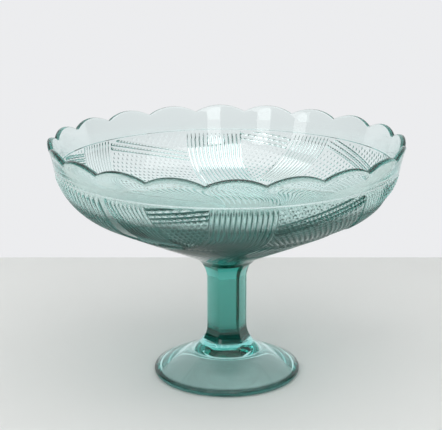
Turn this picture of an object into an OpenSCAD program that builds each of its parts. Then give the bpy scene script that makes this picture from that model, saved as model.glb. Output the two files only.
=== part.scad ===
// Footed compote bowl in pressed glass: a scalloped bowl on a six-sided stem and a round foot.
// Millimetres, +Z up, origin at the centre of the circle that the foot stands on.
// Angles round the axis count from the front (-Y), anticlockwise seen from above.

/* [Bowl] */
// Diameter over the tops of the scallops
rim_d = 192; // [160:1:230]
// Height of the bowl, from its seat to the tops of the scallops
bowl_h = 64.8; // [55:0.1:85]
// Thickness of the glass wall
wall = 2.8; // [2.2:0.1:5]
// Thickness of the glass in the middle of the bowl, which thins out towards the shoulder
floor_h = 11; // [7:0.1:14]
// Diameter of the flat floor inside
floor_d = 40; // [30:1:50]
// Slope of the underside above the horizontal, in degrees
underside_slope = 26; // [18:1:30]
// Lean of the rim wall out from the vertical, in degrees
wall_lean = 16; // [8:1:22]
// Radius of the shoulder between the underside and the rim wall
shoulder_r = 36; // [20:1:45]

/* [Rim] */
// Number of scallops round the rim
scallops = 20; // [12:4:28]
// Depth of the notches between the scallops
scallop_depth = 3.8; // [2:0.1:7]
// Angle of the first notch from the front, in degrees
scallop_turn = -6.4; // [-20:0.1:20]

/* [Raised ring] */
// Drop from the tops of the scallops to the raised ring under the plain band
ring_drop = 13.3; // [9:0.1:20]
// Thickness of the raised ring
ring_d = 1.4; // [0.8:0.1:3]

/* [Relief] */
// Height of the ribs and ridges above the wall
relief_h = 0.8; // [0.4:0.1:1.5]
// Radius where the ribs run out on the underside
rib_end_r = 46; // [35:1:60]
// Number of ribs in a wide rib panel
wide_ribs = 13; // [6:1:16]
// Number of ribs in a narrow rib panel
narrow_ribs = 10; // [4:1:12]
// Thickness of a slanting ridge
ridge_w = 1.4; // [0.8:0.1:1.8]
// Spacing of the slanting ridges
ridge_pitch = 2.7; // [2:0.1:4]
// Number of ridges across a stippled panel
ridges = 3; // [1:1:4]

/* [Stem] */
// Height of the stem, from the foot to the joining wafer
stem_h = 45; // [36:0.5:70]
// Thickness of the stem at its waist, across the corners
stem_d = 22; // [16:0.5:30]
// Number of flat sides
stem_sides = 6; // [5:1:8]
// Angle of one corner of the stem from the front, in degrees
stem_turn = 38; // [0:1:60]
// Radius of the flare at both ends of the stem
flare_r = 16; // [13:0.5:22]

/* [Joining wafer] */
// Height of the disc of glass between the stem and the bowl
wafer_h = 4; // [2:0.1:6]

/* [Foot] */
// Diameter of the foot
foot_d = 81; // [70:1:110]
// Height of the foot's neck, from the end of its slope to the joint with the stem
neck_h = 6.2; // [3:0.1:10]
// Slope of the top of the foot, in degrees
foot_slope = 26; // [20:1:30]
// Thickness of the rounded edge of the foot
edge_h = 3.8; // [2.5:0.1:6]
// Width of the flat ring that the foot stands on
contact_w = 2.6; // [1:0.1:5]
// Depth of the hollow under the foot
hollow_h = 13; // [6:0.1:14]

/* [Hidden] */
$fn = 96;
// How far a cut runs past the face that it goes through
overrun = 1;
// Steps in each flare of the stem, and in a rib's way round the shoulder
flare_steps = 6;
shoulder_steps = 4;
// How deep the foot of a rib or ridge sits in the wall
relief_seat = 0.6;
// The front of the part, as an angle from the X axis
front = -90;
glass_colour = [0.45, 0.69, 0.66];

// Radii
rim_r = rim_d / 2;
floor_r = floor_d / 2;
stem_r = stem_d / 2;
foot_r = foot_d / 2;
edge_r = edge_h / 2;
ring_r = ring_d / 2;

// The foot: its edge circle, its slope and the lower flare that rises from the slope to the stem
edge_centre = [foot_r - edge_r, edge_r];
slope_out = [sin(foot_slope), cos(foot_slope)];
slope_low = edge_centre + edge_r * slope_out;
flare_x = stem_r + flare_r;
slope_high_x = flare_x - flare_r * sin(foot_slope);
slope_high = [slope_high_x, slope_low.y + (slope_low.x - slope_high_x) * tan(foot_slope)];
lower_flare = slope_high + flare_r * slope_out;

// Levels up the part
stem_z = slope_high.y + neck_h;
wafer_z = stem_z + stem_h;
bowl_z = wafer_z + wafer_h;
top_z = bowl_z + bowl_h;

// The upper flare leaves the stem upright and meets the underside of the bowl at its slope
upper_flare = [flare_x, bowl_z - flare_r * cos(underside_slope)];
seat_r = flare_x - flare_r * sin(underside_slope);

// The bowl's outline: two straight faces that are tangent to the shoulder circle
underside_out = [sin(underside_slope), -cos(underside_slope)];
wall_out = [cos(wall_lean), -sin(wall_lean)];
wall_up = [sin(wall_lean), cos(wall_lean)];
seat_edge = [seat_r, bowl_z];
rim_edge = [rim_r, top_z];
underside_reach = seat_edge * underside_out - shoulder_r;
wall_reach = rim_edge * wall_out - shoulder_r;
shoulder = [
  underside_reach * wall_out.y - wall_reach * underside_out.y,
  wall_reach * underside_out.x - underside_reach * wall_out.x
] / cos(underside_slope + wall_lean);

// The inside: a slope that leaves the flat floor and is tangent to the inner shoulder circle
inside_r = shoulder_r - wall;
floor_edge = [floor_r, bowl_z + floor_h];
to_shoulder = shoulder - floor_edge;
inside_slope = atan2(to_shoulder.y, to_shoulder.x) - asin(inside_r / norm(to_shoulder));
inside_out = [sin(inside_slope), -cos(inside_slope)];

// Radius of the outside at a height: on the straight wall, or below its end on the shoulder
wall_low_z = shoulder.y + shoulder_r * wall_out.y;
function outside_r(z) = z > wall_low_z
  ? rim_r - (top_z - z) * tan(wall_lean)
  : shoulder.x + sqrt(shoulder_r * shoulder_r - (shoulder.y - z) * (shoulder.y - z));

// The raised ring
ring_z = top_z - ring_drop;
ring_centre_r = outside_r(ring_z);

// Scallop circle through two notches and the top between them
notch_half = rim_r * sin(180 / scallops);
lobe_r = (notch_half * notch_half + scallop_depth * scallop_depth) / (2 * scallop_depth);

// Panels of one quarter of the belt: where each starts and how far it runs, in degrees
quarters = 4;
wide_rib_panel = [-5, 20.5];
wide_stipple_panel = [15.5, 33];
narrow_rib_panel = [48.5, 15.5];
narrow_stipple_panel = [64, 21];
// Height of the middle ridge in each stippled panel, as a share of the way from shoulder to ring
wide_ridge_share = 0.45;
narrow_ridge_share = 0.72;
// Climb of the ridges, in degrees
wide_ridge_climb = 15;
narrow_ridge_climb = 9;

// The belt of relief runs down the outside of the bowl, from under the ring to where the ribs run out
belt_z = ring_z - ring_d;
belt_top = [outside_r(belt_z), belt_z];
belt_end = [rib_end_r, bowl_z + (rib_end_r - seat_r) * tan(underside_slope)];
// The stretch of the shoulder that it covers, as angles below the horizontal
wall_turn = wall_lean;
underside_turn = 90 - underside_slope;
top_turn = max(wall_turn, atan2(shoulder.y - belt_top.y, belt_top.x - shoulder.x));
end_turn = min(underside_turn, atan2(shoulder.y - belt_end.y, belt_end.x - shoulder.x));

// Points along the belt, lifted off the outside of the bowl by lift
function shoulder_point(turn, lift) = shoulder + (shoulder_r + lift) * [cos(turn), -sin(turn)];
function belt_line(lift) = concat(
  top_turn > wall_turn ? [] : [belt_top + lift * wall_out],
  [for (i = [0 : shoulder_steps]) shoulder_point(top_turn + (end_turn - top_turn) * i / shoulder_steps, lift)],
  end_turn < underside_turn ? [] : [belt_end + lift * underside_out]
);
function turned(list) = [for (i = [len(list) - 1 : -1 : 0]) list[i]];

// Section of the bowl's outer shape
module outer_section() {
  intersection() {
    union() {
      polygon([
        [0, bowl_z],
        seat_edge,
        shoulder + shoulder_r * underside_out,
        shoulder + shoulder_r * wall_out,
        rim_edge,
        [0, top_z]
      ]);
      translate(shoulder) circle(r = shoulder_r);
    }
    translate([0, bowl_z]) square([rim_r, bowl_h]);
  }
}

// Section of the space inside the bowl, open at the top
module inner_section() {
  polygon([
    [0, floor_edge.y],
    floor_edge,
    shoulder + inside_r * inside_out,
    shoulder + inside_r * wall_out,
    rim_edge - wall * wall_out + 2 * overrun * wall_up,
    [0, top_z + 2 * overrun]
  ]);
  translate(shoulder) circle(r = inside_r);
}

// A stretch of relief that stands on the wall
module relief_arc(start, run) {
  rotate_extrude(start = front + start, angle = run)
    polygon(concat(belt_line(relief_h), turned(belt_line(-relief_seat))));
}

// Upright ribs, as wide as the gaps between them
module rib_panel(panel, count) {
  pitch = panel[1] / count;
  for (i = [0 : count - 1]) relief_arc(panel[0] + (i + 0.25) * pitch, pitch / 2);
}

// Ridges that climb across a stippled panel
module ridge_panel(panel, share, climb) {
  middle = front + panel[0] + panel[1] / 2;
  low_z = shoulder_point(underside_turn, 0).y;
  middle_z = low_z + share * (belt_z - low_z);
  for (i = [0 : ridges - 1]) intersection() {
    relief_arc(panel[0], panel[1]);
    translate([0, 0, middle_z + (i - (ridges - 1) / 2) * ridge_pitch]) rotate([0, 0, middle])
      rotate([climb, 0, 0]) translate([0, -rim_r, -ridge_w / 2]) cube([2 * rim_r, 2 * rim_r, ridge_w]);
  }
}

// Everything above the scallops, as one cutter
module rim_notches() {
  start_r = rim_r - 3 * wall;
  difference() {
    rotate_extrude() translate([start_r, top_z - 2 * scallop_depth])
      square([rim_r + overrun - start_r, 3 * scallop_depth]);
    for (i = [0 : scallops - 1]) rotate([0, 0, front + scallop_turn + (i + 0.5) * 360 / scallops])
      translate([start_r - wall, 0, top_z - lobe_r]) rotate([0, 90, 0])
        cylinder(r = lobe_r, h = rim_r + 2 * overrun - start_r + wall);
  }
}

module bowl() {
  color(glass_colour) {
    difference() {
      rotate_extrude() difference() {
        outer_section();
        inner_section();
      }
      rim_notches();
    }
    rotate_extrude() translate([ring_centre_r, ring_z]) circle(r = ring_r);
    for (i = [0 : quarters - 1]) rotate([0, 0, i * 360 / quarters]) {
      rib_panel(wide_rib_panel, wide_ribs);
      rib_panel(narrow_rib_panel, narrow_ribs);
      ridge_panel(wide_stipple_panel, wide_ridge_share, wide_ridge_climb);
      ridge_panel(narrow_stipple_panel, narrow_ridge_share, narrow_ridge_climb);
    }
  }
}

module joining_wafer() {
  color(glass_colour) rotate_extrude() difference() {
    translate([0, wafer_z]) square([seat_r, wafer_h]);
    translate(upper_flare) circle(r = flare_r);
  }
}

module stem() {
  low_turn = asin((lower_flare.y - stem_z) / flare_r);
  high_turn = asin((wafer_z - upper_flare.y) / flare_r);
  low_arc = [for (i = [0 : flare_steps]) low_turn * (i / flare_steps - 1)];
  high_arc = [for (i = [0 : flare_steps]) high_turn * i / flare_steps];
  color(glass_colour) rotate([0, 0, front + stem_turn]) rotate_extrude($fn = stem_sides) polygon(concat(
    [[0, stem_z]],
    [for (t = low_arc) lower_flare + flare_r * [-cos(t), sin(t)]],
    [for (t = high_arc) upper_flare + flare_r * [-cos(t), sin(t)]],
    [[0, wafer_z]]
  ));
}

module foot() {
  hollow_r = edge_centre.x - contact_w;
  dome_r = (hollow_r * hollow_r + hollow_h * hollow_h) / (2 * hollow_h);
  color(glass_colour) rotate_extrude() difference() {
    union() {
      difference() {
        polygon([[0, 0], [edge_centre.x, 0], slope_low, slope_high, [slope_high.x, stem_z], [0, stem_z]]);
        translate(lower_flare) circle(r = flare_r);
      }
      translate(edge_centre) circle(r = edge_r);
    }
    intersection() {
      translate([0, hollow_h - dome_r]) circle(r = dome_r);
      square([hollow_r, hollow_h]);
    }
  }
}

bowl();
joining_wafer();
stem();
foot();
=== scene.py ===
"""Footed compote bowl in pressed teal glass, built around the packed CAD model."""

import math
from functools import partialmethod
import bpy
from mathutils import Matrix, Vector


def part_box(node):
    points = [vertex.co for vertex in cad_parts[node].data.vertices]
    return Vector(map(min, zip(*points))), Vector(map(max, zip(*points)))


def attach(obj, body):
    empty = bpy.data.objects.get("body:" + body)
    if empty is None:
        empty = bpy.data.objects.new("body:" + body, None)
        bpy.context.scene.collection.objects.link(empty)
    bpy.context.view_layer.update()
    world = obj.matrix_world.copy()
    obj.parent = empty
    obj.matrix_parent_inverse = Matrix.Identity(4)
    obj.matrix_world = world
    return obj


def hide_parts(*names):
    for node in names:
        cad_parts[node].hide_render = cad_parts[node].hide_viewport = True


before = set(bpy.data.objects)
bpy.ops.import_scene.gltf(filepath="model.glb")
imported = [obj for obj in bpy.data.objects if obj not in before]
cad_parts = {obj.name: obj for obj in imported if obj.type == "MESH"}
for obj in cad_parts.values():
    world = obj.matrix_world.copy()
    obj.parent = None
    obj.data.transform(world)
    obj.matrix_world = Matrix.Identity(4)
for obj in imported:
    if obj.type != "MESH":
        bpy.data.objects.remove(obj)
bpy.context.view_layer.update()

from types import SimpleNamespace

import bmesh
import bpy
import numpy as np
from bpy.props import FloatProperty, FloatVectorProperty, IntProperty, PointerProperty
from bpy.types import Operator, Panel, PropertyGroup
from mathutils import Vector

bl_info = {
    "name": "Footed Compote Bowl",
    "version": (1, 0, 0),
    "blender": (4, 5, 0),
    "location": "View3D > Sidebar > Compote",
    "description": "Builds a footed compote bowl in pressed glass, with its stage",
    "category": "Add Mesh",
}

BODY = "root"
MM = 0.001
FULL_TURN = 360.0
HALF_TURN = FULL_TURN / 2
DEGREE = math.pi / HALF_TURN
BOWL_LOW, BOWL_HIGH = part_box("bowl")
WAFER_LOW, WAFER_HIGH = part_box("joining_wafer")
STEM_LOW, STEM_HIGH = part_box("stem")
_, FOOT_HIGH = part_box("foot")

# Columns of the meshes: round the axis, in a scallop, in a rib, and in a degree of a stippled panel
PLAIN_COLUMNS = 240
ROUND_COLUMNS = 180
SCALLOP_COLUMNS = 24
RIB_COLUMNS = 8
LOW_RIB_COLUMNS = 3
DOT_COLUMNS = 3

# Steps of the rows of the bowl, the wafer, the stem and the foot, in metres and for the last two in radians
RIB_STEP = 2.5 * MM
DOT_STEP = 0.56 * MM
RING_STEP = 0.25 * MM
BAND_STEP = 1.5 * MM
ROUND_STEP = 0.35 * MM
INSIDE_STEP = 3.2 * MM
WAFER_STEP = 0.5 * MM
STEM_STEP = 0.7 * MM
CONTACT_STEP = 0.8 * MM
FLARE_STEP = 0.4 * MM
DOME_STEP = 0.025
EDGE_STEP = 0.12
# Points down the cone of the foot, round a corner of the stem and across one of its faces
CONE_POINTS = 12
CORNER_POINTS = 5
FACE_POINTS = 9

# Gaps between rows of unlike columns, and how far the fine rows run on past the end of the dots
RING_SEAM = 0.3 * MM
BELT_SEAM = 1 * MM
DOT_MARGIN = 1.5 * MM

# Where the relief fades: from nothing to full, or over a distance
RIB_TOP_FADE = (0, 1.5 * MM)
DOT_TOP_FADE = (0.3 * MM, 1.3 * MM)
SIDE_FADE = (0.005, 0.02)
DOT_FADE = 1 * MM
NARROW_FADE = 8 * MM
SEAT_FADE = 10 * MM
# Radius at which the dots keep their spacing, as a share of the rim's
DOT_RADIUS_SHARE = 0.88
# How far the ridges, and the painted shade in the hollows beside them, reach from the middle row, in rows
RIDGE_ROWS = 1.5
PAINTED_SHADE_ROWS = 1.9
# Strength of the painted shade in the hollows between ribs, and where the painted shade beside a ridge is
# full, in widths from its middle
RIB_PAINTED_SHADE = 0.75
RIDGE_PAINTED_SHADE_REACH = 0.7

# Angles past which an edge is shaded as a sharp one, in degrees
RELIEF_SHARP = 60
EDGE_SHARP = 35
# Size of the stem's joint faces, as a share of the full section
LEDGE_SHARE = 0.995

# Where each zone of painted shade on the glass sets in and where it is full
BELT_PAINTED_SHADE = (85 * MM, 76 * MM)
HOLLOW_PAINTED_SHADE = (0.1, 0.6)
RIM_PAINTED_SHADE_START = (0.8 * MM, 1.1 * MM)
RIM_PAINTED_SHADE_END = (0.2 * MM, 0)
STEM_PAINTED_SHADE = (12 * MM, 5 * MM)
FOOT_PAINTED_SHADE = (4.5 * MM, 3.6 * MM)

# The mould's ripple in the glass
RIPPLE_SCALE = 70
RIPPLE_DETAIL = 2
RIPPLE_DEPTH = 2 * MM

# Directions, as shares of a unit vector, where the room's light sets in and is full
BACK_LIGHT = (0.3, 0.75)
TOP_LIGHT = (0.25, 0.55)
# The window lamps, by their angles from the front, and the sky lamp above, in metres
WINDOW_TURNS = (10, -28, -57)
WINDOW_R = 1.2
WINDOW_Z = 0.75
WINDOW_AIM = (0, 0, 0.12)
WINDOW_SIZE = (0.22, 0.8)
SKY_PLACE = (0.1, -0.1, 1.3)
SKY_AIM = (0, 0.1, 0.1)
SKY_SIZE = (1.6, 1.6)


def maker(kind, **more):
    """Makes properties of one kind from a name, a description and a default."""
    return lambda name, text, default: kind(name=name, description=text, default=default, **more)


# A size in metres, a plain number or an angle in degrees, a number of like features, and a linear colour
length = maker(FloatProperty, unit="LENGTH", precision=5)
number = maker(FloatProperty)
count = maker(IntProperty, min=1)
colour = maker(FloatVectorProperty, subtype="COLOR", size=3)


class BowlSizes(PropertyGroup):
    """Sizes of the bowl."""

    seat_z: length("Seat level", "Underside of the bowl, where the wafer holds it", BOWL_LOW.z)
    top_z: length("Top level", "Tops of the scallops", BOWL_HIGH.z)
    rim_r: length("Rim radius", "Radius over the tops of the scallops", 96 * MM)
    seat_r: length("Seat radius", "Radius of the joint with the wafer", WAFER_HIGH.x)
    wall: length("Wall", "Thickness of the glass wall", 2.8 * MM)
    floor_h: length("Floor", "Thickness of the glass in the middle", 11 * MM)
    floor_r: length("Floor radius", "Radius of the flat floor", 20 * MM)
    slope: number("Slope", "Slope of the underside above the horizontal, in degrees", 26)
    lean: number("Lean", "Lean of the rim wall out from the vertical, in degrees", 16)
    shoulder_r: length("Shoulder", "Radius between the underside and the wall", 36 * MM)
    floor_round: length("Floor round", "Radius between the floor and the inside slope", 30 * MM)
    rim_round: length("Rim round", "Radius of the fire-polished edge", 1.1 * MM)
    scallops: count("Scallops", "Scallops round the rim", 20)
    scallop_depth: length("Scallop depth", "Depth of the notches between the scallops", 3.8 * MM)
    scallop_turn: number("Scallop turn", "Angle of the first notch from the front, in degrees", -6.4)
    scallop_fade: length("Scallop fade", "How far down the inside the scallops fade", 18 * MM)
    ring_drop: length("Ring drop", "From the tops of the scallops down to the ring", 13.3 * MM)
    belt_gap: length("Belt gap", "Gap between the ring and the belt", 0.4 * MM)


class ReliefSizes(PropertyGroup):
    """Sizes of the pressed relief on the outside of the bowl."""

    ring_w: length("Ring width", "Width of the raised ring", 2.0 * MM)
    ring_h: length("Ring height", "Height of the raised ring", 0.6 * MM)
    ring_fade: length("Ring fade", "Height over which the ring rises from the band", 9 * MM)
    belt_end: length("Belt end", "From the seat's edge to the end of the ribs", 3 * MM)
    stipple_end: length("Stipple end", "From the seat's edge to the end of the dots", 51 * MM)
    wide_ribs: count("Wide ribs", "Ribs in a wide panel", 13)
    narrow_ribs: count("Narrow ribs", "Ribs in a narrow panel", 10)
    rib_h: length("Rib height", "Height of the ribs at the top of the belt", 1.0 * MM)
    ridge_h: length("Ridge height", "Height of the slanting ridges", 1.0 * MM)
    ridge_w: length("Ridge width", "Width of a ridge", 1.5 * MM)
    ridge_pitch: length("Ridge pitch", "Spacing of the ridges and of the rows of dots", 2.6 * MM)
    wide_low: length("Wide low end", "From the seat's edge to the ridges' low end, wide panel", 74.2 * MM)
    wide_high: length("Wide high end", "From the seat's edge to the ridges' high end, wide panel", 88 * MM)
    narrow_low: length("Narrow low end", "From the seat's edge to their low end, narrow panel", 83.4 * MM)
    narrow_high: length("Narrow high end", "From the seat's edge to their high end, narrow panel", 87.9 * MM)
    dot_h: length("Dot height", "Height of the dots", 0.6 * MM)
    dot_r: length("Dot radius", "Radius of the dots", 0.85 * MM)
    dot_turn: number("Dot turn", "Spacing of the dots round the axis, in degrees", 2.0)


class StemSizes(PropertyGroup):
    """Sizes of the stem, the wafer and the foot."""

    waist_r: length("Waist radius", "Radius of the stem's corners at its waist", 11 * MM)
    sides: count("Sides", "Flat sides of the stem", 6)
    turn: number("Turn", "Angle of one corner from the front, in degrees", 38)
    arris_r: length("Arris radius", "Rounding of the stem's corners", 0.5 * MM)
    flare_r: length("Flare radius", "Radius of the flare at both ends", 16 * MM)
    foot_r: length("Foot radius", "Radius of the foot", FOOT_HIGH.x)
    foot_slope: number("Foot slope", "Slope of the top of the foot, in degrees", 26)
    edge_h: length("Edge", "Thickness of the rounded edge of the foot", 3.8 * MM)
    contact_w: length("Contact", "Width of the ring that the foot stands on", 2.6 * MM)
    hollow_h: length("Hollow", "Depth of the hollow under the foot", 13 * MM)
    joint_gap: length("Joint gap", "Gap that keeps the faces of a joint apart", 0.02 * MM)


class GlassLook(PropertyGroup):
    """Finish of the glass."""

    tint: colour("Tint", "Colour of the surface", (0.985, 1.0, 0.995))
    # Painted shade: the dark teal that the camera sees on the outer side of the glass in the zones of painted
    # shade, in place of the darkness that long paths through the glass and refraction of dark surroundings
    # give there
    zone_tint: colour("Zone tint", "Colour where much glass lies in the line of sight", (0.01, 0.05, 0.042))
    absorbs: colour("Colour in depth", "Colour of thick glass", (0.0, 0.66, 0.60))
    bowl_absorbs: colour("Bowl's depth", "Colour of thick glass, bowl", (0.05, 0.61, 0.56))
    foot_absorbs: colour("Foot's depth", "Colour of thick glass, foot", (0.0, 0.80, 0.76))
    bowl_depth: number("Bowl depth", "Colour strength per metre, bowl", 40)
    stem_depth: number("Stem depth", "Colour strength per metre, stem", 130)
    wafer_depth: number("Wafer depth", "Colour strength per metre, wafer", 220)
    foot_depth: number("Foot depth", "Colour strength per metre, foot", 48)
    ior: number("IOR", "Index of refraction", 1.5)
    roughness: number("Roughness", "Fire-polished surface", 0.01)
    ripple: number("Ripple", "Strength of the mould's ripple", 0.02)


class StageLook(PropertyGroup):
    """Floor, backdrop, lamps and camera."""

    floor: colour("Floor", "Colour of the floor", (0.70, 0.71, 0.695))
    floor_w: length("Floor width", "Width of the floor", 6)
    floor_drop: length("Floor drop", "How far the floor lies under the foot", 0.2 * MM)
    wall: colour("Backdrop", "Colour of the backdrop", (0.84, 0.845, 0.86))
    wall_w: length("Backdrop width", "Width of the backdrop", 0.6)
    wall_h: length("Backdrop height", "Top of the backdrop", 2)
    wall_y: length("Backdrop distance", "From the axis to the backdrop", 0.21)
    matt: number("Matt", "Roughness of the floor and the backdrop", 0.8)
    room: number("Room", "Strength of the light from the back and from above", 0.75)
    shade: number("Shade", "Strength of the light from the other sides", 0.05)
    window_power: number("Window power", "Power of each window lamp, in watts", 1.4)
    sky_power: number("Sky power", "Power of the lamp above, in watts", 11)
    bounces: count("Bounces", "Times that light may bend or reflect", 32)
    distance: length("Camera distance", "From the aim to the camera", 0.6945)
    elevation: number("Elevation", "Height of the camera above the aim, in degrees", 15.5)
    aim_z: length("Aim", "Height of the point that the camera aims at", 0.0898)
    lens: number("Lens", "Focal length in millimetres", 104.02)
    sensor_w: number("Sensor width", "Width of the camera's sensor in millimetres", 36)
    shift_x: number("Shift", "Sideways shift of the picture", -0.01344)


class Outline:
    """A half section: straight lines with rounded corners, followed by distance."""

    def __init__(self, corners):
        self.parts = []
        points = [np.array(c[:2], float) for c in corners]
        last = points[0]
        for i in range(1, len(points) - 1):
            into = unit(points[i] - points[i - 1])
            away = unit(points[i + 1] - points[i])
            cross = into[0] * away[1] - into[1] * away[0]
            bend = math.atan2(cross, into @ away)
            radius = corners[i][2]
            cut = radius * abs(math.tan(bend / 2))
            start, end = points[i] - cut * into, points[i] + cut * away
            self.line(last, start)
            if radius:
                side = math.copysign(1, bend)
                centre = start + side * radius * np.array((-into[1], into[0]))
                first = math.atan2(*(start - centre)[::-1])
                self.parts.append(("arc", centre, radius, first, bend, radius * abs(bend)))
            last = end
        self.line(last, points[-1])
        self.length = sum(p[-1] for p in self.parts)

    def line(self, a, b):
        """Adds a straight part."""
        size = np.linalg.norm(b - a)
        if size > 0:
            self.parts.append(("line", a, (b - a) / size, size))

    def at(self, distance):
        """Point and outward direction at a distance along the outline, which keeps the solid on its left."""
        for part in self.parts:
            if distance <= part[-1] or part is self.parts[-1]:
                break
            distance -= part[-1]
        if part[0] == "line":
            point, way = part[1] + distance * part[2], part[2]
        else:
            _, centre, radius, first, bend, size = part
            angle = first + bend * distance / size
            spoke = np.array((math.cos(angle), math.sin(angle)))
            point = centre + radius * spoke
            way = math.copysign(1, bend) * np.array((-spoke[1], spoke[0]))
        return point, np.array((way[1], -way[0]))

    def ends(self):
        """Distances at which the parts meet."""
        return [0.0, *np.cumsum([p[-1] for p in self.parts])]


def unit(v):
    """The direction of a vector."""
    return v / np.linalg.norm(v)


def steps(low, high, step):
    """Even distances from low to high, about a step apart."""
    return np.linspace(low, high, max(2, round(abs(high - low) / step) + 1))


class Skin:
    """Points, faces and named values of a mesh that is sewn together from rows."""

    def __init__(self):
        self.points = []
        self.values = {}
        self.faces = []
        self.joint_faces = []
        self.total = 0

    def row(self, points, **values):
        """Adds points and their values, and returns their numbers."""
        points = np.asarray(points, float).reshape(-1, 3)
        self.points.append(points)
        for name in set(values) | set(self.values):
            wanted = values.get(name, 0.0)
            shape = np.shape(wanted)[-1:] if np.ndim(wanted) > 1 else ()
            if name not in self.values:
                self.values[name] = [np.zeros((self.total, *shape))]
            self.values[name].append(np.broadcast_to(wanted, (len(points), *self.values[name][0].shape[1:])))
        first, self.total = self.total, self.total + len(points)
        return np.arange(first, self.total)

    def bridge(self, a, b, closed=True):
        """Four-sided faces between two rows of as many points."""
        last = len(a) if closed else len(a) - 1
        for i in range(last):
            j = (i + 1) % len(a)
            self.faces.append((a[i], a[j], b[j], b[i]))

    def bridge_all(self, rows, closed=True):
        """Four-sided faces between all rows that follow one another: the first and the last row."""
        for a, b in zip(rows, rows[1:]):
            self.bridge(a, b, closed)
        return rows[0], rows[-1]

    def tube(self, rings):
        """Closed rings of points, joined to one another: the first and the last."""
        return self.bridge_all([self.row(points) for points in rings])

    def zip(self, a, at_a, b, at_b):
        """Triangles between two open rows, sewn by their distances along the seam."""
        i = j = 0
        while i < len(a) - 1 or j < len(b) - 1:
            if j == len(b) - 1 or (i < len(a) - 1 and at_a[i + 1] <= at_b[j + 1]):
                self.faces.append((a[i], a[i + 1], b[j]))
                i += 1
            else:
                self.faces.append((a[i], b[j + 1], b[j]))
                j += 1

    def zip_rings(self, a, turn_a, b, turn_b):
        """Triangles between two closed rings, sewn by their angles."""
        start = int(np.argmin(np.abs((turn_b - turn_a[0] + HALF_TURN) % FULL_TURN - HALF_TURN)))
        b, turn_b = np.roll(b, -start), np.roll(turn_b, -start)
        shift = (turn_b[0] - turn_a[0] + HALF_TURN) % FULL_TURN - HALF_TURN
        round_a = (turn_a - turn_a[0]) % FULL_TURN
        round_b = (turn_b - turn_b[0]) % FULL_TURN + shift
        self.zip(
            np.append(a, a[0]), np.append(round_a, FULL_TURN),
            np.append(b, b[0]), np.append(round_b, FULL_TURN + shift),
        )

    def cap(self, ring, z, joint=False, **values):
        """Closes a ring on one point of the axis."""
        centre = self.row([(0, 0, z)], **values)[0]
        first = len(self.faces)
        self.faces += [(a, b, centre) for a, b in zip(ring, np.roll(ring, -1))]
        if joint:
            self.joint_faces += range(first, len(self.faces))

    def mesh(self, name):
        """The closed mesh, with its values as attributes and its faces turned outwards."""
        mesh = bpy.data.meshes.new(name)
        mesh.from_pydata(np.concatenate(self.points).tolist(), [], [tuple(map(int, f)) for f in self.faces])
        for key, rows in self.values.items():
            data = np.concatenate(rows)
            kind, field = ("FLOAT_VECTOR", "vector") if data.ndim > 1 else ("FLOAT", "value")
            mesh.attributes.new(key, kind, "POINT").data.foreach_set(field, data.astype(np.float32).ravel())
        joint = np.zeros(len(self.faces), np.float32)
        joint[self.joint_faces] = 1
        mesh.attributes.new("joint", "FLOAT", "FACE").data.foreach_set("value", joint)
        work = bmesh.new()
        work.from_mesh(mesh)
        bmesh.ops.recalc_face_normals(work, faces=work.faces)
        work.to_mesh(mesh)
        work.free()
        return mesh


def around(r, z, turn):
    """Points at a radius and level, at angles from the front, anticlockwise seen from above."""
    a = np.radians(turn)
    return np.stack((r * np.sin(a), -r * np.cos(a), np.broadcast_to(z, np.shape(a))), -1)


def even_turns(parts, first=0.0):
    """Angles that divide the full turn."""
    return first + np.arange(parts) * FULL_TURN / parts


def new_node(tree, kind, values=()):
    """A node with the values of its named inputs."""
    node = tree.nodes.new(kind)
    for name, value in dict(values).items():
        node.inputs[name].default_value = value
    return node


class Wire:
    """A value in a node tree that takes part in plain sums."""

    def __init__(self, tree, socket):
        self.tree, self.socket = tree, socket

    def feed(self, node, *terms):
        """Gives a node its terms, and returns its result."""
        for socket, term in zip(node.inputs, terms):
            if isinstance(term, Wire):
                self.tree.links.new(term.socket, socket)
            else:
                socket.default_value = term
        return Wire(self.tree, node.outputs[0])

    def math(self, operation, *others):
        """A math node on this value and others."""
        node = new_node(self.tree, "ShaderNodeMath")
        node.operation = operation
        return self.feed(node, self, *others)

    __add__ = partialmethod(math, "ADD")
    __sub__ = partialmethod(math, "SUBTRACT")
    __mul__ = partialmethod(math, "MULTIPLY")
    __truediv__ = partialmethod(math, "DIVIDE")
    __gt__ = partialmethod(math, "GREATER_THAN")
    __lt__ = partialmethod(math, "LESS_THAN")
    fract = partialmethod(math, "FRACT")
    abs = partialmethod(math, "ABSOLUTE")
    root = partialmethod(math, "SQRT")
    round = partialmethod(math, "ROUND")
    sin = partialmethod(math, "SINE")
    most = partialmethod(math, "MAXIMUM")

    def __rsub__(self, other):
        return (self - other) * -1

    def square(self):
        """The value times itself."""
        return self * self

    def smooth(self, low, high):
        """Rises gently from 0 at low to 1 at high."""
        node = new_node(self.tree, "ShaderNodeMapRange")
        node.interpolation_type = "SMOOTHSTEP"
        return self.feed(node, self, low, high)


def add_object(name, data):
    """A new object in the scene."""
    made = bpy.data.objects.new(name, data)
    bpy.context.scene.collection.objects.link(made)
    return made


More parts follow.
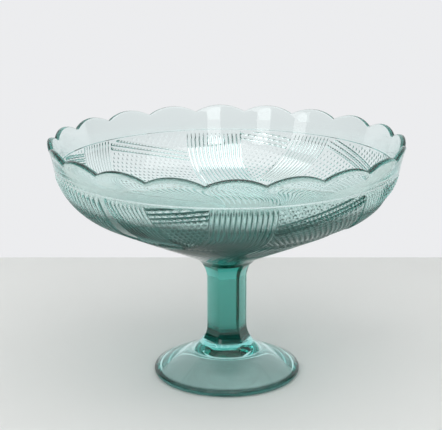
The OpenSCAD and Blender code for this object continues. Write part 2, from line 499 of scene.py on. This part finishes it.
class Tree:
    """A Geometry Nodes tree with named inputs."""

    def __init__(self, name):
        self.tree = bpy.data.node_groups.new(name, "GeometryNodeTree")
        self.tree.is_modifier = True
        self.socket("Geometry", "NodeSocketGeometry")
        self.tree.interface.new_socket("Geometry", in_out="OUTPUT", socket_type="NodeSocketGeometry")
        self.values = {}

    def socket(self, name, kind):
        """A new input of the tree."""
        return self.tree.interface.new_socket(name, in_out="INPUT", socket_type=kind)

    def inputs(self, **values):
        """Number inputs with the values that the modifier gives them, as wires."""
        for name, value in values.items():
            kind = "NodeSocketInt" if isinstance(value, int) else "NodeSocketFloat"
            self.values[self.socket(name, kind).identifier] = value
        self.socket("Material", "NodeSocketMaterial")
        self.group_in = self.tree.nodes.new("NodeGroupInput")
        outputs = self.group_in.outputs
        return SimpleNamespace(**{name: Wire(self.tree, outputs[name]) for name in values})

    def attribute(self, name, kind="FLOAT"):
        """A named value of the mesh."""
        node = new_node(self.tree, "GeometryNodeInputNamedAttribute", {"Name": name})
        node.data_type = kind
        return Wire(self.tree, node.outputs["Attribute"])

    def press(self, outward, lift, down_wall, drop, hollow):
        """Moves every point outwards by lift and down the wall by drop, stores hollow, the mask of painted
        shade in the relief's hollows, then ends the tree.
        """
        link, nodes = self.tree.links.new, self.tree.nodes
        both = nodes.new("ShaderNodeVectorMath")
        for socket, way, size in zip(both.inputs, (outward, down_wall), (lift, drop)):
            move = nodes.new("ShaderNodeVectorMath")
            move.operation = "SCALE"
            link(way.socket, move.inputs[0])
            link(size.socket, move.inputs["Scale"])
            link(move.outputs[0], socket)
        place = nodes.new("GeometryNodeSetPosition")
        keep = new_node(self.tree, "GeometryNodeStoreNamedAttribute", {"Name": "hollow"})
        keep.data_type = "FLOAT"
        keep.domain = "POINT"
        real = nodes.new("GeometryNodeRealizeInstances")
        paint = nodes.new("GeometryNodeSetMaterial")
        out = nodes.new("NodeGroupOutput")
        link(both.outputs[0], place.inputs["Offset"])
        link(hollow.socket, next(i for i in keep.inputs if i.name == "Value" and i.enabled))
        link(self.group_in.outputs["Material"], paint.inputs["Material"])
        last = self.group_in
        for node in (place, keep, real, paint, out):
            link(last.outputs["Geometry"], node.inputs["Geometry"])
            last = node

    def bake(self, mesh, material):
        """Runs the tree on a mesh and returns the result as a plain mesh."""
        blank = add_object("blank", mesh)
        modifier = blank.modifiers.new("Relief", "NODES")
        modifier.node_group = self.tree
        for key, value in self.values.items():
            modifier[key] = value
        sockets = self.tree.interface.items_tree
        modifier[next(s.identifier for s in sockets if s.name == "Material")] = material
        graph = bpy.context.evaluated_depsgraph_get()
        baked = bpy.data.meshes.new_from_object(blank.evaluated_get(graph))
        bpy.data.objects.remove(blank)
        bpy.data.meshes.remove(mesh)
        return baked


def piece(name, mesh, node, sharp, material):
    """Places a finished mesh as the piece that stands for a CAD node."""
    mesh.shade_smooth()
    mesh.set_sharp_from_angle(angle=math.radians(sharp))
    made = add_object(name, mesh)
    if not mesh.materials:
        mesh.materials.append(material)
    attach(made, BODY)
    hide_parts(node)


def attribute_value(tree, name):
    """A named value of the mesh, in a material."""
    node = new_node(tree, "ShaderNodeAttribute")
    node.attribute_name = name
    return Wire(tree, node.outputs["Fac"])


def ray_share(tree, *kinds):
    """1 for light paths of the given kinds, otherwise 0."""
    ray = new_node(tree, "ShaderNodeLightPath")
    share = Wire(tree, ray.outputs[kinds[0]])
    for kind in kinds[1:]:
        share = share.most(Wire(tree, ray.outputs[kind]))
    return share


def front_share(tree):
    """1 on the outer side of a surface, 0 on its back."""
    side = new_node(tree, "ShaderNodeNewGeometry")
    return 1 - Wire(tree, side.outputs["Backfacing"])


def mix_shaders(tree, share, first, second):
    """Turns from the first shader to the second one as the share rises."""
    mix = new_node(tree, "ShaderNodeMixShader")
    for source, socket in zip((share.socket, first.outputs[0], second.outputs[0]), mix.inputs):
        tree.links.new(source, socket)
    return mix


def painted_shade_share(tree, place, zones):
    """How far a point that the camera sees lies in one of the zones of painted shade."""
    split = new_node(tree, "ShaderNodeSeparateXYZ")
    tree.links.new(place.outputs["Object"], split.inputs[0])
    level = Wire(tree, split.outputs["Z"])
    seen = ray_share(tree, "Is Camera Ray") * front_share(tree)
    share = seen * 0
    for name, *edges in zones:
        value = level if name == "level" else attribute_value(tree, name)
        part = seen
        for start, full in edges:
            part = part * value.smooth(start, full)
        share = share.most(part)
    return share


def glass(name, absorbs, strength, *zones):
    """Teal glass that darkens with depth, clear where two pieces are stuck together.

    Each zone is a stretch of painted shade, where the colour that the camera sees on the outer side turns
    dark in place of the darkness that long paths through the glass and refraction of dark surroundings give
    there: the value that it goes by, and for each of its edges where it sets in and where it is full.
    """
    look = bpy.context.scene.compote_glass
    tint = (*look.tint, 1)
    material = bpy.data.materials.new(name)
    material.use_nodes = True
    tree = material.node_tree
    link = tree.links.new
    tree.nodes.clear()
    shader = new_node(tree, "ShaderNodeBsdfPrincipled", {
        "Base Color": tint, "Transmission Weight": 1, "IOR": look.ior, "Roughness": look.roughness,
    })
    place = new_node(tree, "ShaderNodeTexCoord")
    blend = new_node(tree, "ShaderNodeMix")
    # Painted shade: the surface colour turns to the dark painted-shade tint in the zones
    blend.data_type = "RGBA"
    blend.inputs["A"].default_value = tint
    blend.inputs["B"].default_value = (*look.zone_tint, 1)
    link(painted_shade_share(tree, place, zones).socket, blend.inputs["Factor"])
    link(blend.outputs["Result"], shader.inputs["Base Color"])
    ripple = new_node(tree, "ShaderNodeTexNoise", {"Scale": RIPPLE_SCALE, "Detail": RIPPLE_DETAIL})
    bump = new_node(tree, "ShaderNodeBump", {"Strength": look.ripple, "Distance": RIPPLE_DEPTH})
    link(place.outputs["Object"], ripple.inputs["Vector"])
    link(ripple.outputs["Fac"], bump.inputs["Height"])
    link(bump.outputs["Normal"], shader.inputs["Normal"])
    clear = new_node(tree, "ShaderNodeBsdfTransparent")
    surface = mix_shaders(tree, attribute_value(tree, "joint"), shader, clear)
    depth = new_node(tree, "ShaderNodeVolumeAbsorption", {"Color": (*absorbs, 1), "Density": strength})
    out = new_node(tree, "ShaderNodeOutputMaterial")
    link(surface.outputs[0], out.inputs["Surface"])
    link(depth.outputs[0], out.inputs["Volume"])
    return material


def bowl_outline(size):
    """The bowl's section, from the seat's edge round the rim to the middle of the floor."""
    slope, lean = math.radians(size.slope), math.radians(size.lean)
    underside_out = np.array((math.sin(slope), -math.cos(slope)))
    wall_out = np.array((math.cos(lean), -math.sin(lean)))
    seat = np.array((size.seat_r, size.seat_z))
    rim = np.array((size.rim_r, size.top_z))
    inner_rim = rim - (size.wall / math.cos(lean), 0)
    floor = np.array((size.floor_r, size.seat_z + size.floor_h))

    # The inside leaves the floor at the slope that is tangent to the inner shoulder
    reach = np.array((underside_out @ seat, wall_out @ rim)) - size.shoulder_r
    shoulder = np.linalg.solve((underside_out, wall_out), reach)
    inside_r = size.shoulder_r - size.wall
    way = shoulder - floor
    inside = math.atan2(way[1], way[0]) - math.asin(inside_r / np.linalg.norm(way))
    inside_out = np.array((math.sin(inside), -math.cos(inside)))

    def meet(low, low_out, high):
        """Where a slope meets the line of the wall."""
        return np.linalg.solve((low_out, wall_out), (low_out @ low, wall_out @ high))

    return Outline([
        tuple(seat),
        (*meet(seat, underside_out, rim), size.shoulder_r),
        (*rim, size.rim_round),
        (*inner_rim, size.rim_round),
        (*meet(floor, inside_out, inner_rim), inside_r),
        (*floor, size.floor_round),
        (0, floor[1]),
    ])


# Kinds of panel in the belt, and what stands for no panel
WIDE_RIBS, WIDE_STIPPLE, NARROW_RIBS, NARROW_STIPPLE, PLAIN = range(5)
BARE = -1
# The way a border takes down the bowl: it sweeps round to the seat, bends a little, or slants over
SWEEP, BEND, SLANT = range(3)
# Degrees that each border turns for a millimetre down the belt, and for a square millimetre
SWEEP_LEAN, SWEEP_CURVE = -0.07, -0.017
BEND_LEAN, BEND_CURVE = 0.06, -0.003
SLANT_LEAN, SLANT_CURVE = 0.16, 0.0035
# Millimetres down the belt where the sweep starts to curve, and where the slant ends
SWEEP_STRAIGHT = 14
SLANT_END = 40
# The panels of a quarter: the kind, the angle where it starts at the top of the belt, and its border's way
PANELS = (
    (WIDE_RIBS, -5.0, SWEEP),
    (WIDE_STIPPLE, 15.5, BEND),
    (NARROW_RIBS, 48.5, SLANT),
    (NARROW_STIPPLE, 64.0, SLANT),
)
# The quarter that the photograph shows from its side has ribs and a plain strip in place of the wide stipple
SIDE_PANELS = (
    PANELS[0],
    (WIDE_RIBS, 15.5, BEND),
    (PLAIN, 46.5, BEND),
    *PANELS[2:],
)
QUARTERS = (PANELS, PANELS, PANELS, SIDE_PANELS)
QUARTER_TURN = FULL_TURN / len(QUARTERS)
# Least width of a panel that the sweeping ribs press together, in degrees
LEAST_PANEL = 0.5


def lean_of_border(way, down):
    """How far a border has leant over, in degrees, at a distance down the belt."""
    down = down / MM
    if way == SWEEP:
        curved = max(down - SWEEP_STRAIGHT, 0)
        return SWEEP_LEAN * min(down, SWEEP_STRAIGHT) + SWEEP_CURVE * curved ** 2
    if way == BEND:
        return BEND_LEAN * down + BEND_CURVE * down ** 2
    down = min(down, SLANT_END)
    return SLANT_LEAN * down + SLANT_CURVE * down ** 2


def border_turn(borders, index, down):
    """Angle of a border at a distance down the belt, kept clear of the ribs that sweep under it."""
    _, start, way = borders[index]
    turn = start + lean_of_border(way, down)
    if way == SWEEP:
        width = PANELS[1][1] - PANELS[0][1]
        room = QUARTER_TURN - width - LEAST_PANEL * len(SIDE_PANELS)
        return max(turn, start + lean_of_border(BEND, down) - room)
    ahead = next(i for i in range(index, len(borders)) if borders[i][2] == SWEEP)
    return min(turn, border_turn(borders, ahead, down) - LEAST_PANEL * (ahead - index))


class BowlSkin(Skin):
    """The plain bowl as sewn rows, with the values that the relief is pressed from."""

    def __init__(self, bowl, relief):
        super().__init__()
        self.bowl, self.relief = bowl, relief
        self.outline = bowl_outline(bowl)
        # The polished edge: start and end of its outer round, and start and end of its inner round
        self.edge = self.outline.ends()[3:7]
        lean = math.radians(bowl.lean)
        corner = self.edge[0] + bowl.rim_round * math.tan((math.pi / 2 - lean) / 2)
        self.ring_s = corner - bowl.ring_drop / math.cos(lean)
        self.belt_top = self.ring_s - relief.ring_w / 2 - bowl.belt_gap
        self.borders = []
        for quarter, panels in enumerate(QUARTERS + QUARTERS[:1]):
            self.borders += [(kind, start + quarter * QUARTER_TURN, way) for kind, start, way in panels]
        self.sew()

    def level(self, s, turn, kind=BARE, across=0):
        """A row of points at a distance along the section, at angles from the front."""
        point, outward = self.outline.at(s)
        rise = (s - self.ring_s) / (self.edge[0] - self.ring_s)
        fade = 1 - (s - self.edge[2]) / self.bowl.scallop_fade
        return self.row(
            around(*point, turn), turn=turn, run=s, panel=kind, across=across,
            outward=around(*outward, turn), rim_share=np.clip(min(rise, fade), 0, 1),
            down_wall=around(-math.tan(math.radians(self.bowl.lean)), -1, turn),
        )

    def panel(self, index, high_s, low_s, fine):
        """One panel of the belt, from a high to a low distance: its rows, and their distances."""
        (kind, start, way), (next_kind, end, _) = self.borders[index:index + 2]
        rib_columns = RIB_COLUMNS if fine or way == SWEEP else LOW_RIB_COLUMNS
        if not fine:
            # Under the dots all panels are ribbed
            kind = next_kind = WIDE_RIBS
        ribbed = {WIDE_RIBS: self.relief.wide_ribs, NARROW_RIBS: self.relief.narrow_ribs}
        ribs = ribbed.get(kind)
        columns = rib_columns * ribs if ribs else round(DOT_COLUMNS * (end - start))
        rows = steps(high_s, low_s, RIB_STEP if ribs else DOT_STEP)
        # Where two panels meet, only one of them carries the column on the border
        share = np.linspace(0, 1, columns + 1)
        if not ribs:
            share = share[1:]
        if not ribs or next_kind in ribbed:
            share = share[:-1]
        grid = []
        for s in rows:
            down = self.belt_top - s
            low, high = (border_turn(self.borders, i, down) for i in (index, index + 1))
            grid.append(self.level(s, low + share * (high - low), kind, share))
        self.bridge_all(grid, closed=False)
        return np.array(grid), rows

    def belt(self, high_s, low_s, fine):
        """All the panels between two distances, sewn side to side: the top and the bottom row."""
        panels = len(self.borders) - len(QUARTERS[0])
        grids = [self.panel(index, high_s, low_s, fine) for index in range(panels)]
        for (grid, rows), (next_grid, next_rows) in zip(grids, grids[1:] + grids[:1]):
            self.zip(grid[:, -1], -rows, next_grid[:, 0], -next_rows)
        return np.concatenate([g[0] for g, _ in grids]), np.concatenate([g[-1] for g, _ in grids])

    def sew(self):
        """Makes every row and joins them all into one closed skin."""
        bowl, relief = self.bowl, self.relief
        outer_start, outer_end, inner_start, inner_end = self.edge
        rim_turns = even_turns(bowl.scallops * SCALLOP_COLUMNS, bowl.scallop_turn)
        plain_turns = even_turns(PLAIN_COLUMNS, bowl.scallop_turn)
        belt_low = relief.stipple_end - DOT_MARGIN
        top, bottom = self.belt(self.belt_top, belt_low, True)
        under_high, under_low = self.belt(belt_low - BELT_SEAM, relief.belt_end, False)
        seat_ring = self.level(0, plain_turns)
        ring_rows = steps(self.belt_top + RING_SEAM, self.ring_s + relief.ring_w / 2 + RING_SEAM, RING_STEP)
        rim_rows = [
            *ring_rows,
            *steps(ring_rows[-1], outer_start, BAND_STEP)[1:],
            *steps(outer_start, outer_end, ROUND_STEP)[1:],
            *steps(inner_start, inner_end, ROUND_STEP),
        ]
        end = self.outline.length
        inside_rows = steps(inner_end, end, INSIDE_STEP)[1:-1]
        rim_low, rim_high = self.bridge_all([self.level(s, rim_turns) for s in rim_rows])
        inner_low, inner_high = self.bridge_all([self.level(s, plain_turns) for s in inside_rows])
        turn = np.concatenate(self.values["turn"])
        for a, b in ((seat_ring, under_low), (under_high, bottom), (top, rim_low), (rim_high, inner_low)):
            self.zip_rings(a, turn[a], b, turn[b])
        self.cap(inner_high, self.outline.at(end)[0][1], run=end, panel=BARE)
        half = self.row(around(bowl.seat_r / 2, bowl.seat_z, plain_turns), panel=BARE)
        first = len(self.faces)
        self.bridge(half, seat_ring)
        self.joint_faces += range(first, len(self.faces))
        self.cap(half, bowl.seat_z, joint=True, panel=BARE)


def relief_tree(bowl, relief, ring_s, belt_top):
    """The mould: scallops, ring, ribs, ridges and dots, pressed from the named values of the blank."""
    tree = Tree("Pressed relief")
    notch_half = bowl.rim_r * math.sin(math.pi / bowl.scallops)
    lobe_r = (notch_half ** 2 + bowl.scallop_depth ** 2) / (2 * bowl.scallop_depth)
    w = tree.inputs(
        scallop_angle=FULL_TURN / bowl.scallops, scallop_turn=bowl.scallop_turn, lobe_r=lobe_r,
        rim_r=bowl.rim_r, ring_at=ring_s, belt_top=belt_top,
        **{name: getattr(relief, name) for name in ReliefSizes.__annotations__},
    )
    numbers = ("turn", "run", "panel", "across", "rim_share")
    turn, run, panel, across, rim_share = (tree.attribute(name) for name in numbers)
    outward, down_wall = (tree.attribute(name, "FLOAT_VECTOR") for name in ("outward", "down_wall"))
    below_top = w.belt_top - run

    def is_kind(kind):
        """1 on panels of a kind, otherwise 0."""
        return (panel - kind).abs() < 0.5

    # Scallops: round lobes that meet in notches
    lobe = ((turn - w.scallop_turn) / w.scallop_angle).fract() - 0.5
    chord = (lobe * w.scallop_angle * DEGREE).sin() * w.rim_r
    drop = (w.lobe_r - (w.lobe_r.square() - chord.square()).root()) * rim_share

    # The raised ring under the plain band
    over = run - w.ring_at
    under_side = (1 - (over / (w.ring_w * 0.5)).square()).most(0).root() * (over < 0)
    upper_side = (1 - over / w.ring_fade).most(0).square() * (over > 0)
    ring = (under_side + upper_side) * w.ring_h * is_kind(BARE)

    # Ribs, which lower as they draw together towards the seat
    wide, narrow = is_kind(WIDE_RIBS), is_kind(NARROW_RIBS)
    ribs = w.wide_ribs * wide + w.narrow_ribs * narrow
    crest = 1 - ((across * ribs).fract() * 2 - 1).square()
    ribbed = wide + narrow * run.smooth(w.stipple_end - DOT_FADE, w.stipple_end + NARROW_FADE)
    ribbed = ribbed * run.smooth(w.belt_end - SEAT_FADE, w.stipple_end) * below_top.smooth(*RIB_TOP_FADE)
    rib = crest * w.rib_h * ribbed

    # Ridges and rows of dots on one slanting lattice
    wide, narrow = is_kind(WIDE_STIPPLE), is_kind(NARROW_STIPPLE)
    low = w.wide_low * wide + w.narrow_low * narrow
    high = w.wide_high * wide + w.narrow_high * narrow
    lattice = (run - low - (high - low) * across) / w.ridge_pitch
    row = lattice.round()
    off_line = (lattice - row) * w.ridge_pitch
    on_ridge = row.abs() < RIDGE_ROWS
    ridge = (1 - (off_line / (w.ridge_w * 0.5)).square()).most(0) * w.ridge_h * on_ridge
    column = turn / w.dot_turn + row * 0.5
    off_column = (column - column.round()) * w.dot_turn * DEGREE * w.rim_r * DOT_RADIUS_SHARE
    reach = (off_line.square() + off_column.square()) / w.dot_r.square()
    dotted = (1 - on_ridge) * run.smooth(w.stipple_end, w.stipple_end + DOT_FADE)
    dot = (1 - reach).most(0) * w.dot_h * dotted
    stippled = (across * (1 - across)).smooth(*SIDE_FADE) * below_top.smooth(*DOT_TOP_FADE) * (wide + narrow)

    # Mask of painted shade: how far a place lies in the hollows beside the relief, where the glass is painted
    # darker
    rib_painted_shade = (1 - crest) * RIB_PAINTED_SHADE * ribbed
    ridge_painted_shade = (off_line / (w.ridge_w * RIDGE_PAINTED_SHADE_REACH)).square() * (lattice.abs() < PAINTED_SHADE_ROWS)
    dot_painted_shade = (1 - (reach - 1).abs() * 2).most(0) * dotted
    hollow = rib_painted_shade + ridge_painted_shade.most(dot_painted_shade) * stippled
    tree.press(outward, ring + rib + (ridge + dot) * stippled, down_wall, drop, hollow)
    return tree


def stem_radius(size, corner_r, turn):
    """Radius of the rounded polygon with its corners at corner_r, at angles from the front."""
    half = math.pi / size.sides
    flat = corner_r * math.cos(half)
    centre = (flat - size.arris_r) / math.cos(half)
    off = np.abs((np.radians(turn - size.turn) + half) % (2 * half) - half)
    limit = math.atan2(size.arris_r * math.sin(half), centre + size.arris_r * math.cos(half))
    arc = centre * np.cos(off) + np.sqrt(np.maximum(size.arris_r ** 2 - (centre * np.sin(off)) ** 2, 0))
    return np.where(off < limit, arc, flat / np.cos(half - off))


def stem_turns(size):
    """Angles round the stem, close together on the rounded corners."""
    half = math.pi / size.sides
    flat = size.waist_r * math.cos(half)
    round_half = math.degrees(math.atan2(size.arris_r * math.sin(half), flat / math.cos(half)))
    side = FULL_TURN / size.sides
    corner = np.linspace(-round_half, round_half, CORNER_POINTS)
    face = np.linspace(round_half, side - round_half, FACE_POINTS)[1:-1]
    return np.concatenate([size.turn + i * side + np.append(corner, face) for i in range(size.sides)])


def flare(size, flat_z, slope, upward):
    """Radius at a level of the flare that leaves the stem upright and is tangent to a slope at flat_z."""
    centre_r = size.waist_r + size.flare_r
    centre_z = flat_z - upward * size.flare_r * math.cos(math.radians(slope))

    def radius(z):
        """Radius of the stem's corners at a level."""
        off = np.clip((z - centre_z) * upward, 0, size.flare_r)
        return centre_r - math.sqrt(size.flare_r ** 2 - off ** 2)

    return radius


def flares():
    """The upper flare, the lower flare, and the point where the lower one meets the cone of the foot."""
    size, bowl = bpy.context.scene.compote_stem, bpy.context.scene.compote_bowl
    upper = flare(size, bowl.seat_z, bowl.slope, 1)
    slope = math.radians(size.foot_slope)
    edge = size.edge_h / 2
    low_r, low_z = size.foot_r - edge + edge * math.sin(slope), edge + edge * math.cos(slope)
    high_r = size.waist_r + size.flare_r * (1 - math.sin(slope))
    high_z = low_z + (low_r - high_r) * math.tan(slope)
    return upper, flare(size, high_z, size.foot_slope, -1), (high_r, high_z)


def stem_end(skin, size, round_ring, turns, corner_r, z):
    """Closes a round ring with a ledge and the joint face that the stem is stuck to."""
    stem = stem_turns(size)
    ring = skin.row(around(stem_radius(size, corner_r * LEDGE_SHARE, stem), z, stem))
    skin.zip_rings(round_ring, turns, ring, stem)
    skin.cap(ring, z, joint=True)


class COMPOTE_OT_bowl(Operator):
    """Press the bowl with its scalloped rim, raised ring, ribs, ridges and dots"""

    bl_idname = "compote.bowl"
    bl_label = "Bowl"

    def execute(self, context):
        size, relief = context.scene.compote_bowl, context.scene.compote_relief
        skin = BowlSkin(size, relief)
        tree = relief_tree(size, relief, skin.ring_s, skin.belt_top)
        look = context.scene.compote_glass
        # Painted shade on the bowl: the lower belt, the hollows of the relief and the polished rim edge
        round_start, round_end = skin.edge[:2]
        rim_shade_edges = ([round_start + s for s in RIM_PAINTED_SHADE_START], [round_end + s for s in RIM_PAINTED_SHADE_END])
        zones = (("run", BELT_PAINTED_SHADE), ("hollow", HOLLOW_PAINTED_SHADE), ("run", *rim_shade_edges))
        material = glass("bowl_teal_glass", look.bowl_absorbs, look.bowl_depth, *zones)
        mesh = tree.bake(skin.mesh("bowl_glass"), material)
        piece("bowl_glass", mesh, "bowl", RELIEF_SHARP, material)
        return {"FINISHED"}


class COMPOTE_OT_joining_wafer(Operator):
    """Make the disc of glass that joins the bowl to the stem"""

    bl_idname = "compote.joining_wafer"
    bl_label = "Joining wafer"

    def execute(self, context):
        size, bowl = context.scene.compote_stem, context.scene.compote_bowl
        upper, _, _ = flares()
        turns = even_turns(ROUND_COLUMNS)
        top = bowl.seat_z - size.joint_gap
        skin = Skin()
        low, high = skin.tube(around(upper(z), z, turns) for z in steps(WAFER_LOW.z, top, WAFER_STEP))
        skin.cap(high, top, joint=True)
        stem_end(skin, size, low, turns, upper(WAFER_LOW.z), WAFER_LOW.z)
        look = context.scene.compote_glass
        # Painted shade on the wafer, darker towards its bottom
        zone = ("level", (bowl.seat_z, WAFER_LOW.z))
        material = glass("wafer_teal_glass", look.absorbs, look.wafer_depth, zone)
        piece("joining_wafer_glass", skin.mesh("joining_wafer_glass"), "joining_wafer", EDGE_SHARP, material)
        return {"FINISHED"}


class COMPOTE_OT_stem(Operator):
    """Make the stem with its flat sides and flared ends"""

    bl_idname = "compote.stem"
    bl_label = "Stem"

    def execute(self, context):
        size = context.scene.compote_stem
        upper, lower, _ = flares()
        turns = stem_turns(size)
        levels = steps(STEM_LOW.z + size.joint_gap, STEM_HIGH.z - size.joint_gap, STEM_STEP)
        corner_r = np.array([max(upper(z), lower(z)) for z in levels])
        corner_r[[0, -1]] *= LEDGE_SHARE
        skin = Skin()
        low, high = skin.tube(around(stem_radius(size, r, turns), z, turns) for r, z in zip(corner_r, levels))
        skin.cap(low, levels[0], joint=True)
        skin.cap(high, levels[-1], joint=True)
        look = context.scene.compote_glass
        # Painted shade on the bottom of the stem, darker towards the foot
        zone = ("level", [STEM_LOW.z + z for z in STEM_PAINTED_SHADE])
        material = glass("stem_teal_glass", look.absorbs, look.stem_depth, zone)
        piece("stem_glass", skin.mesh("stem_glass"), "stem", EDGE_SHARP, material)
        return {"FINISHED"}


class COMPOTE_OT_foot(Operator):
    """Make the round foot, hollow underneath"""

    bl_idname = "compote.foot"
    bl_label = "Foot"

    def execute(self, context):
        size = context.scene.compote_stem
        _, lower, high = flares()
        slope = math.radians(size.foot_slope)
        edge = size.edge_h / 2
        hollow_r = size.foot_r - edge - size.contact_w
        dome_r = (hollow_r ** 2 + size.hollow_h ** 2) / (2 * size.hollow_h)
        rows = [(dome_r * math.sin(t), size.hollow_h - dome_r * (1 - math.cos(t)))
                for t in steps(0, math.asin(hollow_r / dome_r), DOME_STEP)[1:]]
        rows += [(r, 0) for r in steps(hollow_r, size.foot_r - edge, CONTACT_STEP)[1:]]
        rows += [(size.foot_r - edge + edge * math.sin(t), edge - edge * math.cos(t))
                 for t in steps(0, math.pi - slope, EDGE_STEP)[1:]]
        rows += [tuple(p) for p in np.linspace(rows[-1], high, CONE_POINTS)[1:]]
        rows += [(lower(z), z) for z in steps(high[1], FOOT_HIGH.z, FLARE_STEP)[1:]]
        turns = even_turns(ROUND_COLUMNS)
        skin = Skin()
        inner, outer = skin.tube(around(r, z, turns) for r, z in rows)
        skin.cap(inner, size.hollow_h)
        stem_end(skin, size, outer, turns, lower(FOOT_HIGH.z), FOOT_HIGH.z)
        look = context.scene.compote_glass
        # Painted shade on the foot's lowest few millimetres, round its bottom edge
        material = glass("foot_teal_glass", look.foot_absorbs, look.foot_depth, ("level", FOOT_PAINTED_SHADE))
        piece("foot_glass", skin.mesh("foot_glass"), "foot", EDGE_SHARP, material)
        return {"FINISHED"}


def sheet(name, corners, shade, roughness):
    """A flat matt sheet of the stage: its material."""
    material = bpy.data.materials.new(name)
    material.use_nodes = True
    shader = material.node_tree.nodes["Principled BSDF"]
    shader.inputs["Base Color"].default_value = (*shade, 1)
    shader.inputs["Roughness"].default_value = roughness
    mesh = bpy.data.meshes.new(name)
    mesh.from_pydata(corners, [], [(0, 1, 2, 3)])
    mesh.materials.append(material)
    add_object(name, mesh)
    return material


def light_backdrop(tree, shade):
    """Shows the backdrop's own colour to the camera and in the glass, and leaves it clear from behind."""
    nodes = tree.nodes
    seen = ray_share(tree, "Is Camera Ray", "Is Glossy Ray", "Is Transmission Ray")
    glow = new_node(tree, "ShaderNodeEmission", {"Color": (*shade, 1)})
    clear = new_node(tree, "ShaderNodeBsdfTransparent")
    front = mix_shaders(tree, seen, nodes["Principled BSDF"], glow)
    both = mix_shaders(tree, front_share(tree), clear, front)
    tree.links.new(both.outputs[0], nodes["Material Output"].inputs["Surface"])


def light_room(look):
    """A room that lights the object from the back and from above, and is full for the camera."""
    world = bpy.data.worlds.new("room")
    world.use_nodes = True
    tree = world.node_tree
    way = new_node(tree, "ShaderNodeTexCoord")
    split = new_node(tree, "ShaderNodeSeparateXYZ")
    tree.links.new(way.outputs["Generated"], split.inputs[0])
    back = Wire(tree, split.outputs["Y"]).smooth(*BACK_LIGHT)
    above = Wire(tree, split.outputs["Z"]).smooth(*TOP_LIGHT)
    full = back.most(above).most(ray_share(tree, "Is Camera Ray"))
    strength = full * (look.room - look.shade) + look.shade
    background = tree.nodes["Background"]
    background.inputs["Color"].default_value = (1, 1, 1, 1)
    tree.links.new(strength.socket, background.inputs["Strength"])
    bpy.context.scene.world = world


def soft_box(name, place, aim, size, power):
    """A soft area lamp that looks at a point."""
    data = bpy.data.lights.new(name, "AREA")
    data.shape = "RECTANGLE"
    data.size, data.size_y = size
    data.energy = power
    lamp = add_object(name, data)
    lamp.location = place
    lamp.rotation_euler = (Vector(aim) - Vector(place)).to_track_quat("-Z", "Y").to_euler()


def place_camera(look):
    """The camera, fitted to the photograph."""
    data = bpy.data.cameras.new("camera")
    data.lens, data.sensor_width = look.lens, look.sensor_w
    data.shift_x = look.shift_x
    camera = add_object("camera", data)
    up = math.radians(look.elevation)
    camera.location = (0, -look.distance * math.cos(up), look.aim_z + look.distance * math.sin(up))
    camera.rotation_euler = (math.pi / 2 - up, 0, 0)
    bpy.context.scene.camera = camera


class COMPOTE_OT_stage(Operator):
    """Set the floor, the backdrop, the lamps and the camera"""

    bl_idname = "compote.stage"
    bl_label = "Stage"

    def execute(self, context):
        scene = context.scene
        look = scene.compote_stage
        scene.view_settings.view_transform = "Standard"
        for limit in ("max_bounces", "glossy_bounces", "transmission_bounces", "transparent_max_bounces"):
            setattr(scene.cycles, limit, look.bounces)
        z, far = -look.floor_drop, look.floor_w / 2
        x, y, high = look.wall_w / 2, look.wall_y, look.wall_h
        ground = [(-far, -far, z), (far, -far, z), (far, far, z), (-far, far, z)]
        upright = [(-x, y, z), (x, y, z), (x, y, high), (-x, y, high)]
        sheet("floor", ground, look.floor, look.matt)
        light_backdrop(sheet("backdrop", upright, look.wall, look.matt).node_tree, look.wall)
        light_room(look)
        for turn in WINDOW_TURNS:
            a = math.radians(turn)
            place = (WINDOW_R * math.sin(a), -WINDOW_R * math.cos(a), WINDOW_Z)
            soft_box("window", place, WINDOW_AIM, WINDOW_SIZE, look.window_power)
        soft_box("sky", SKY_PLACE, SKY_AIM, SKY_SIZE, look.sky_power)
        place_camera(look)
        return {"FINISHED"}


class COMPOTE_PT_sidebar(Panel):
    """Lists the pieces and the sizes that they are made from"""

    bl_label = "Compote bowl"
    bl_idname = "COMPOTE_PT_sidebar"
    bl_space_type = "VIEW_3D"
    bl_region_type = "UI"
    bl_category = "Compote"

    def draw(self, context):
        for operator in OPERATORS:
            self.layout.operator(operator.bl_idname)
        for key, group in GROUPS.items():
            box = self.layout.box()
            box.label(text=group.__doc__)
            for name in group.__annotations__:
                box.prop(getattr(context.scene, key), name)


GROUPS = {
    "compote_bowl": BowlSizes,
    "compote_relief": ReliefSizes,
    "compote_stem": StemSizes,
    "compote_glass": GlassLook,
    "compote_stage": StageLook,
}
OPERATORS = (COMPOTE_OT_stage, COMPOTE_OT_bowl, COMPOTE_OT_joining_wafer, COMPOTE_OT_stem, COMPOTE_OT_foot)


def register():
    """Adds the sizes, the operators and the panel."""
    for kind in (*GROUPS.values(), *OPERATORS, COMPOTE_PT_sidebar):
        bpy.utils.register_class(kind)
    for key, group in GROUPS.items():
        setattr(bpy.types.Scene, key, PointerProperty(type=group))


def unregister():
    """Takes them away again."""
    for key in GROUPS:
        delattr(bpy.types.Scene, key)
    for kind in (COMPOTE_PT_sidebar, *OPERATORS[::-1], *list(GROUPS.values())[::-1]):
        bpy.utils.unregister_class(kind)


def main():
    """Builds the stage and every piece."""
    register()
    bpy.ops.compote.stage()
    bpy.ops.compote.bowl()
    bpy.ops.compote.joining_wafer()
    bpy.ops.compote.stem()
    bpy.ops.compote.foot()


if __name__ == "__main__":
    main()
